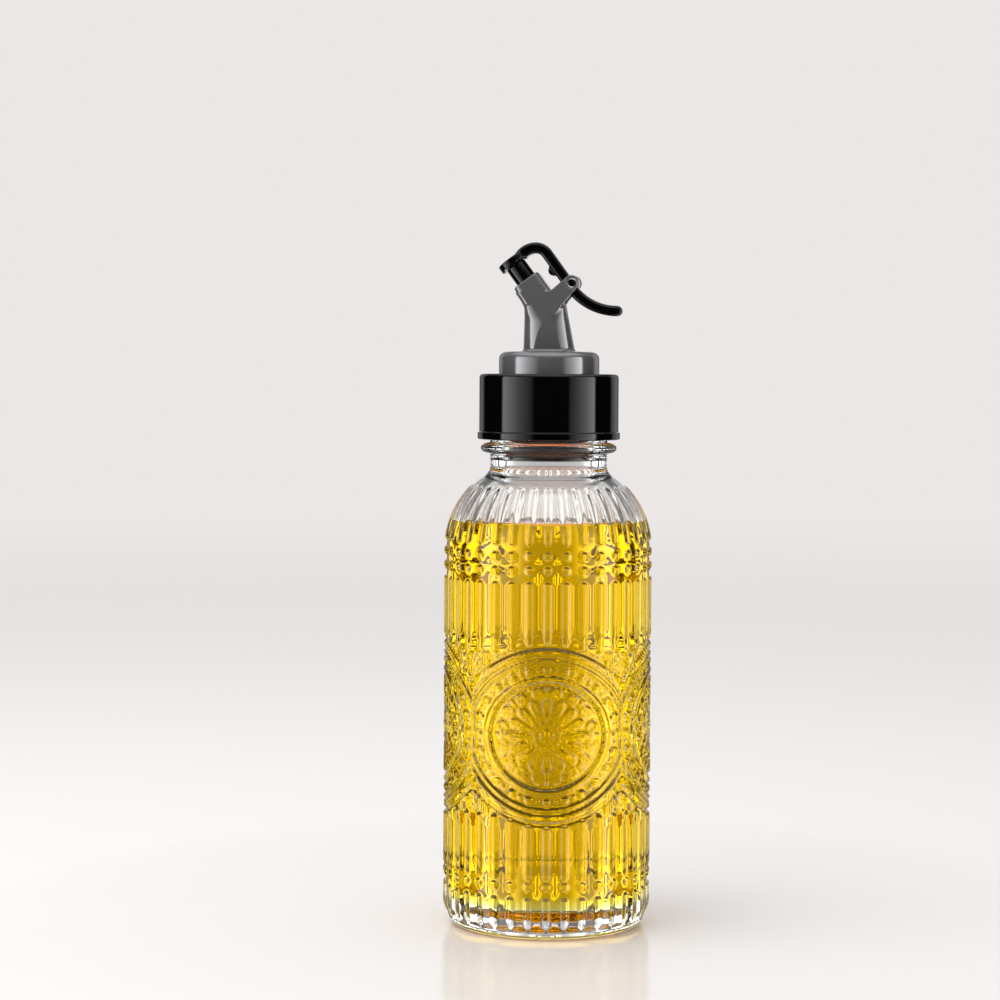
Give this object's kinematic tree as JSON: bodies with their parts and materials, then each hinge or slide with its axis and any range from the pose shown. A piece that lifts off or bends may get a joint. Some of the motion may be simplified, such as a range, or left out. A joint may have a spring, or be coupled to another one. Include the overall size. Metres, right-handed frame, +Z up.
{
  "type": "oil dispenser bottle",
  "caption": "Ribbed pressed-glass oil bottle with a screw cap and a forked pourer whose hooked lever opens and closes the slanted nozzle.",
  "frame": {"origin": "middle of the bottle's foot, on the surface it stands on", "axes": "+Z up the bottle's axis; the pourer lies in the XZ plane with its nozzle towards -X and the lever's tail towards +X"},
  "size_m": [0.065, 0.065, 0.213],
  "materials": {
    "clear_glass": "clear pressed soda-lime glass",
    "black_plastic": "glossy moulded ABS",
    "grey_plastic": "glossy moulded ABS",
    "black_silicone": "smooth moulded silicone",
    "white_silicone": "smooth moulded silicone"
  },
  "bodies": {
    "bottle": {"glass_bottle": "clear_glass"},
    "pourer": {"pourer_body": "grey_plastic", "neck_stopper": "black_silicone", "rim_gasket": "white_silicone", "nozzle_tip": "black_plastic", "pivot_pin": "black_plastic"},
    "cap": {"screw_cap": "black_plastic"},
    "lever": {"pour_lever": "black_plastic", "lever_seal_pad": "black_silicone"}
  },
  "joints": [
    {"name": "closure_lift", "type": "slide", "parent": "bottle", "child": "pourer", "axis": [0, 0, 1], "range_m": [0, 0.0295]},
    {"name": "cap_turn", "type": "hinge", "parent": "pourer", "child": "cap", "pos_m": [0, 0, 0.1722], "axis": [0, 0, 1], "range_deg": [0, 2520]},
    {"name": "lever_press", "type": "hinge", "parent": "pourer", "child": "lever", "pos_m": [0.00725, 0, 0.2004], "axis": [0, 1, 0], "range_deg": [0, 30]}
  ],
  "couplings": [
    {"joint": "closure_lift", "follows": "cap_turn", "m_per_rad": 0.00066845}
  ]
}
